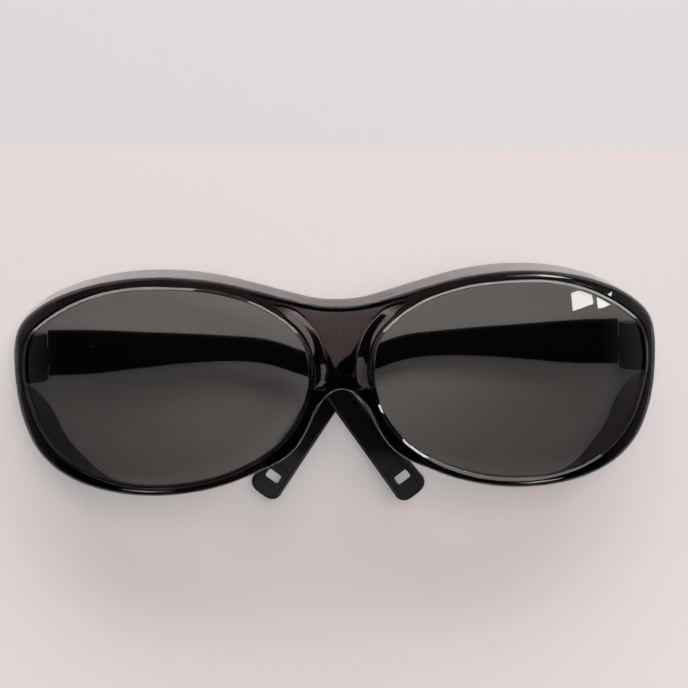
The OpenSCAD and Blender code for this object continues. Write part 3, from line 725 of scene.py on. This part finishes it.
# a pin that cuts the screw's bore
def borePin():
    t = temple
    r = t["screwRadius"] + t["screwFit"]
    turns = np.linspace(0, 2 * math.pi, t["pinSides"], endpoint=False)
    points, faces = skin([[(r * math.cos(a), h, r * math.sin(a)) for a in turns]
                          for h in (-t["pinReach"], t["pinReach"])])
    return newMesh("tool", points, faces)


# the temple's middle barrel, turned round the screw
def makeBarrel():
    t = temple
    outer, inner = front["barrelRadius"] - t["step"], t["screwRadius"] + t["screwFit"]
    h = t["knuckleTall"] / 2
    profile = [np.array(q) for q in ((inner, -h), (outer, -h), (outer, h), (inner, h))]
    loop = roundedLoop(profile, [0.1, 0.3, 0.3, 0.1], 3)
    rings = [[(q[0] * math.cos(a), q[1], q[0] * math.sin(a)) for q in loop]
             for a in np.linspace(0, 2 * math.pi, t["barrelSides"], endpoint=False)]
    points, faces = skin(rings, closeRows=True)
    return newMesh("barrel", points, faces)


def cut(piece, tool):
    modifier = piece.modifiers.new("cut", "BOOLEAN")
    modifier.operation, modifier.object, modifier.solver = "DIFFERENCE", tool, "EXACT"
    settle(piece)
    bpy.data.objects.remove(tool)


def joinMeshes(piece, others):
    work = bmesh.new()
    work.from_mesh(piece.data)
    for other in others:
        work.from_mesh(other.data)
        bpy.data.objects.remove(other)
    work.to_mesh(piece.data)
    work.free()


templeLeft, templeRight = makeTemple("templeLeft", 1), makeTemple("templeRight", -1)
print("temples made,", len(templeLeft.data.polygons), "faces each")


def breakEdges(piece, width, steps, angle):
    edge = piece.modifiers.new("edge", "BEVEL")
    edge.width, edge.segments = width * mm, steps
    edge.limit_method, edge.angle_limit = "ANGLE", math.radians(angle)


# hinge blocks keep their solid's shape, with the edges broken as a mould leaves them
def softened(node, name, width, material):
    piece = bpy.data.objects.new(name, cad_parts[node].data.copy())
    bpy.context.scene.collection.objects.link(piece)
    work = bmesh.new()
    work.from_mesh(piece.data)
    bmesh.ops.remove_doubles(work, verts=work.verts, dist=0.000002)
    bmesh.ops.dissolve_limit(work, angle_limit=math.radians(1), verts=work.verts, edges=work.edges)
    work.to_mesh(piece.data)
    work.free()
    breakEdges(piece, width, 3, 40)
    settle(piece, 35.0)
    piece.data.materials.clear()
    piece.data.materials.append(material)
    return piece


blockLeft = softened("hinge_block_left", "blockLeft", 0.3, hingeBlack)
blockRight = softened("hinge_block_right", "blockRight", 0.3, hingeBlack)


# screws and nuts: one tree turns a screw and a nut and puts them on both hinge axes
hardware = {"headRadius": 1.7, "headTall": 1.0, "slotWidth": 0.8, "slotDepth": 0.35, "nutFlats": 3.6,
            "nutTall": 1.5, "gap": 0.1, "edgeBreak": 0.12}


def makeHingeHardware():
    tree, n = newTree("hingeHardware", "GeometryNodeTree", [
        ("Geometry", "NodeSocketGeometry", None), ("Screw Radius", "NodeSocketFloat", 0.001),
        ("Head Radius", "NodeSocketFloat", 0.0017), ("Head Height", "NodeSocketFloat", 0.001),
        ("Slot Width", "NodeSocketFloat", 0.0008), ("Slot Depth", "NodeSocketFloat", 0.00035),
        ("Nut Radius", "NodeSocketFloat", 0.00208), ("Nut Height", "NodeSocketFloat", 0.0015),
        ("Height", "NodeSocketFloat", 0.0118), ("Gap", "NodeSocketFloat", 0.0001),
        ("Material", "NodeSocketMaterial", None)], [("Geometry", "NodeSocketGeometry")])
    put, give = n.add("NodeGroupInput"), n.add("NodeGroupOutput")
    size = put.outputs

    def cylinder(sides, radius, depth, z):
        made = n.feed(n.add("GeometryNodeMeshCylinder"), {"Vertices": sides, "Radius": radius,
            "Depth": depth})
        move = n.feed(n.add("ShaderNodeCombineXYZ"), {"Z": z})
        return n.feed(n.add("GeometryNodeTransform"), {"Geometry": made.outputs["Mesh"],
            "Translation": move.outputs[0]}).outputs[0]

    half = n.math("MULTIPLY", size["Height"], 0.5)
    gapHalf = n.math("MULTIPLY", size["Gap"], 0.5)
    top = n.math("SUBTRACT", half, gapHalf)
    seat = n.math("SUBTRACT", top, size["Head Height"])
    foot = n.math("SUBTRACT", size["Gap"], half)
    head = cylinder(64, size["Head Radius"], size["Head Height"],
        n.math("SUBTRACT", top, n.math("MULTIPLY", size["Head Height"], 0.5)))
    shaftLength = n.math("SUBTRACT", n.math("ADD", seat, n.math("MULTIPLY", size["Head Height"], 0.5)), foot)
    shaft = cylinder(48, size["Screw Radius"], shaftLength,
        n.math("ADD", foot, n.math("MULTIPLY", shaftLength, 0.5)))
    slotSize = n.feed(n.add("ShaderNodeCombineXYZ"), {"X": n.math("MULTIPLY", size["Head Radius"], 3.0),
        "Y": size["Slot Width"], "Z": n.math("MULTIPLY", size["Slot Depth"], 2.0)})
    slot = n.feed(n.add("GeometryNodeMeshCube"), {"Size": slotSize.outputs[0]})
    slotPlace = n.feed(n.add("ShaderNodeCombineXYZ"), {"Z": top})
    slotMoved = n.feed(n.add("GeometryNodeTransform"), {"Geometry": slot.outputs["Mesh"],
        "Translation": slotPlace.outputs[0]})
    slotted = n.add("GeometryNodeMeshBoolean", operation="DIFFERENCE")
    n.feed(slotted, {"Mesh 1": head, "Mesh 2": slotMoved.outputs[0]})
    nutFull = cylinder(6, size["Nut Radius"], size["Nut Height"],
        n.math("ADD", n.math("SUBTRACT", gapHalf, half), n.math("MULTIPLY", size["Nut Height"], 0.5)))
    bore = cylinder(48, n.math("MULTIPLY", size["Screw Radius"], 1.03), size["Height"], 0.0)
    nut = n.add("GeometryNodeMeshBoolean", operation="DIFFERENCE")
    n.feed(nut, {"Mesh 1": nutFull, "Mesh 2": bore})
    join = n.add("GeometryNodeJoinGeometry")
    for part in (nut.outputs[0], shaft, slotted.outputs[0]):
        tree.links.new(part, join.inputs[0])
    placed = n.feed(n.add("GeometryNodeInstanceOnPoints"), {"Points": put.outputs["Geometry"],
        "Instance": join.outputs[0], "Rotation": (-math.pi / 2, 0.0, 0.0)})
    real = n.feed(n.add("GeometryNodeRealizeInstances"), {"Geometry": placed.outputs[0]})
    done = n.feed(n.add("GeometryNodeSetMaterial"), {"Geometry": real.outputs[0],
        "Material": size["Material"]})
    n.feed(give, {"Geometry": done.outputs[0]})
    return tree


def makeHardware():
    h = hardware
    mesh = bpy.data.meshes.new("hingeHardware")
    mesh.from_pydata([(x * mm, hingeY * mm, hingeZ * mm) for x in (hingeX, -hingeX)], [], [])
    piece = bpy.data.objects.new("hingeHardware", mesh)
    bpy.context.scene.collection.objects.link(piece)
    modifier = piece.modifiers.new("hingeHardware", "NODES")
    modifier.node_group = makeHingeHardware()
    giveInputs(modifier, {"Screw Radius": temple["screwRadius"] * mm, "Head Radius": h["headRadius"] * mm,
        "Head Height": h["headTall"] * mm, "Slot Width": h["slotWidth"] * mm,
        "Slot Depth": h["slotDepth"] * mm, "Nut Radius": h["nutFlats"] / 2 / math.cos(math.pi / 6) * mm,
        "Nut Height": h["nutTall"] * mm, "Height": temple["tall"] * mm, "Gap": h["gap"] * mm,
        "Material": hingeSteel})
    settle(piece, 35.0)
    breakEdges(piece, h["edgeBreak"], 2, 50)
    return settle(piece, 35.0)


hingeHardware = makeHardware()
print("hinges made")


# what each piece stands for and rides on
for piece, nodes, body, slot in (
        (frontFrame, ["front_frame"], "front", "smoke_frame"),
        (lensLeft, ["lens_left"], "front", "tinted_lens"),
        (lensRight, ["lens_right"], "front", "tinted_lens"),
        (noseSaddle, ["nose_saddle"], "front", "saddle_rubber"),
        (blockLeft, ["hinge_block_left"], "front", "hinge_black"),
        (blockRight, ["hinge_block_right"], "front", "hinge_black"),
        (hingeHardware, ["hinge_screw_left", "hinge_screw_right", "hinge_nut_left", "hinge_nut_right"],
            "front", "hinge_steel"),
        (templeLeft, ["temple_left"], "temple_left", "temple_black"),
        (templeRight, ["temple_right"], "temple_right", "temple_black")):
    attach(piece, body)
    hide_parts(*nodes)


# table: painted lighter in front of the nose and darker behind it, a painted falloff of the light, with a
# faint straight step beyond the brow
table = {"size": 3.0, "rough": 0.6, "shine": 0.2, "near": (0.74, 0.667, 0.683, 1.0),
         "far": (0.67, 0.62, 0.635, 1.0), "beyond": (0.626, 0.602, 0.626, 1.0), "paintedFalloff": (-0.08, -0.02),
         "stepY": 0.0605, "stepTurn": 0.019, "stepBlur": 0.0015, "fade": (0.22, 0.8), "showThrough": 0.25,
         "throughLens": 0.08}


def makeTable():
    half = table["size"] / 2 / mm
    floor = newMesh("table", [(-half, -half, 0), (half, -half, 0), (half, half, 0), (-half, half, 0)],
        [(0, 1, 2, 3)])
    material, n, out = newMaterial("paleTable")
    where = n.objectPlace()
    x, y, _ = n.split(where)
    # painted light: the table's colour runs from lighter in front to darker behind, standing in for how the
    # light falls on it
    paintedLightTone = n.mixColour(n.ramp(y, *table["paintedFalloff"], 0.0, 1.0, "LINEAR"), table["near"], table["far"])
    level = n.math("ADD", y, n.math("MULTIPLY", x, table["stepTurn"]))
    step = n.ramp(level, table["stepY"] - table["stepBlur"], table["stepY"] + table["stepBlur"], 0.0, 1.0)
    colour = n.mixColour(step, paintedLightTone, table["beyond"])
    top = n.feed(n.add("ShaderNodeBsdfPrincipled"), {"Base Color": colour, "Roughness": table["rough"],
        "Specular IOR Level": table["shine"]})
    # seen from below the table is clear, and far from the glasses it fades into the pale room; a little
    # shows through it from above, so that opened temples can be made out under it
    clear = n.add("ShaderNodeBsdfTransparent")
    back = n.add("ShaderNodeNewGeometry").outputs["Backfacing"]
    reach = n.feed(n.add("ShaderNodeVectorMath", operation="LENGTH"), {0: where}).outputs["Value"]
    ray = n.add("ShaderNodeLightPath")
    share = n.math("ADD", n.math("MULTIPLY", ray.outputs["Is Camera Ray"], table["showThrough"]),
        n.math("MULTIPLY", ray.outputs["Is Transmission Ray"], table["throughLens"]))
    fade = n.ramp(reach, *table["fade"], 0.0, 1.0)
    unseen = n.math("MAXIMUM", n.math("MAXIMUM", back, fade), share)
    n.feed(out, {"Surface": n.mixShader(unseen, top.outputs[0], clear.outputs[0])})
    floor.data.materials.append(material)


makeTable()


# light: a dim room with a bright horizon, a soft lamp overhead, a window beyond the brow, and lamps and
# panes that show as glints; a place is in metres, a size is across and along, and a power is in watts
light = {"horizon": 0.25, "overhead": 0.012, "horizonEnd": 0.4, "behind": 0.3, "ahead": 2.2, "turnEnd": 0.7,
         "colour": (1.0, 0.975, 0.96, 1.0), "lampColour": (1.0, 0.98, 0.95), "shown": (0.80, 0.77, 0.77, 1.0),
         "aim": (0.0, 0.0, 0.02), "paneAim": (0.06, 0.02, 0.03), "glintDistance": 1.3, "paneDistance": 1.5,
         # name, place, size and power
         "lamps": (("overhead", (0.12, 0.3, 1.6), (0.75, 0.75), 17.5),
                   ("window", (0.25, 1.75, 1.2), (2.4, 1.1), 46.0)),
         # the way it lies from the glasses, size and power
         "glints": (((-0.656, -0.522, 0.545), (0.32, 0.18), 0.9), ((0.708, -0.514, 0.485), (0.34, 0.18), 1.2),
                    ((0.78, 0.43, 0.455), (0.3, 0.2), 2.4), ((0.716, 0.397, 0.574), (0.25, 0.18), 0.35)),
         "panes": (((0.888, 0.145, 0.437), (0.085, 0.16), 0.55),
                   ((0.936, 0.122, 0.33), (0.055, 0.12), 0.3))}


def areaLight(name, place, aim, size, power):
    data = bpy.data.lights.new(name, "AREA")
    data.shape, data.size, data.size_y = "RECTANGLE", size[0], size[1]
    data.energy, data.color = power, light["lampColour"]
    lamp = bpy.data.objects.new(name, data)
    lamp.location = place
    lamp.rotation_euler = (Vector(aim) - Vector(place)).to_track_quat("-Z", "Y").to_euler()
    bpy.context.scene.collection.objects.link(lamp)
    lamp.visible_camera = False
    return lamp


def makeRoom():
    world = bpy.data.worlds.new("room")
    bpy.context.scene.world = world
    world.use_nodes = True
    world.node_tree.nodes.clear()
    n = Nodes(world.node_tree)
    _, y, z = n.split(n.add("ShaderNodeTexCoord").outputs["Generated"])
    up = n.ramp(z, 0.0, light["horizonEnd"], light["horizon"], light["overhead"])
    ahead = n.ramp(y, -light["turnEnd"], light["turnEnd"], light["behind"], light["ahead"])
    sky = n.feed(n.add("ShaderNodeBackground"), {"Color": light["colour"],
        "Strength": n.math("MULTIPLY", up, ahead)})
    shown = n.feed(n.add("ShaderNodeBackground"), {"Color": light["shown"], "Strength": 1.0})
    path = n.add("ShaderNodeLightPath")
    pale = n.math("MAXIMUM", path.outputs["Is Camera Ray"], n.math("LESS_THAN", z, 0.0))
    n.feed(n.add("ShaderNodeOutputWorld"), {"Surface": n.mixShader(pale, sky.outputs[0], shown.outputs[0])})


def makeLamps():
    for name, place, size, power in light["lamps"]:
        lamp = areaLight(name, place, light["aim"], size, power)
        lamp.visible_glossy = lamp.visible_transmission = False
    for i, (way, size, power) in enumerate(light["glints"]):
        glint = areaLight(f"glint{i}", Vector(way) * light["glintDistance"], light["aim"], size, power)
        glint.visible_diffuse = False
    for i, (way, size, power) in enumerate(light["panes"]):
        place = Vector(way) * light["paneDistance"] + Vector(light["paneAim"])
        areaLight(f"pane{i}", place, light["paneAim"], size, power)


makeRoom()
makeLamps()


# camera, at the photograph's view: its place, its turns in degrees, and in pixels its focal length, the point
# straight ahead of it and the width of the frame
camera = {"place": (-13.54, 40.77, 407.63), "yaw": 2.0, "tilt": 6.0, "roll": -1.05, "focal": 1557.0,
          "pixel": (338.1, 385.0), "frame": 688.0, "sensor": 36.0}


def makeCamera():
    c = camera
    y, t, r = (math.radians(c[k]) for k in ("yaw", "tilt", "roll"))
    away = np.array([-math.sin(y) * math.cos(t), math.sin(t), math.cos(y) * math.cos(t)])
    forward = -away
    right = unit(np.cross(forward, [0, 1, 0]))
    up = np.cross(right, forward)
    right, up = math.cos(r) * right + math.sin(r) * up, -math.sin(r) * right + math.cos(r) * up
    # the ray through the frame's middle becomes the lens axis, so no shift is needed
    dx, dy = (c["frame"] / 2 - c["pixel"][0]) / c["focal"], -(c["frame"] / 2 - c["pixel"][1]) / c["focal"]
    axis = unit(forward + dx * right + dy * up)
    side = unit(np.cross(axis, up))
    top = np.cross(side, axis)
    data = bpy.data.cameras.new("view")
    data.sensor_width, data.lens = c["sensor"], c["sensor"] * c["focal"] / c["frame"]
    data.clip_start, data.clip_end = 0.01, 50.0
    eye = bpy.data.objects.new("view", data)
    matrix = Matrix([[side[i], top[i], -axis[i]] for i in range(3)]).to_4x4()
    matrix.translation = Vector((c["place"][0] * mm, (c["place"][1] + shiftY) * mm, c["place"][2] * mm))
    eye.matrix_world = matrix
    bpy.context.scene.collection.objects.link(eye)
    bpy.context.scene.camera = eye


makeCamera()
bpy.context.scene.view_settings.view_transform = "Standard"
print("scene made")
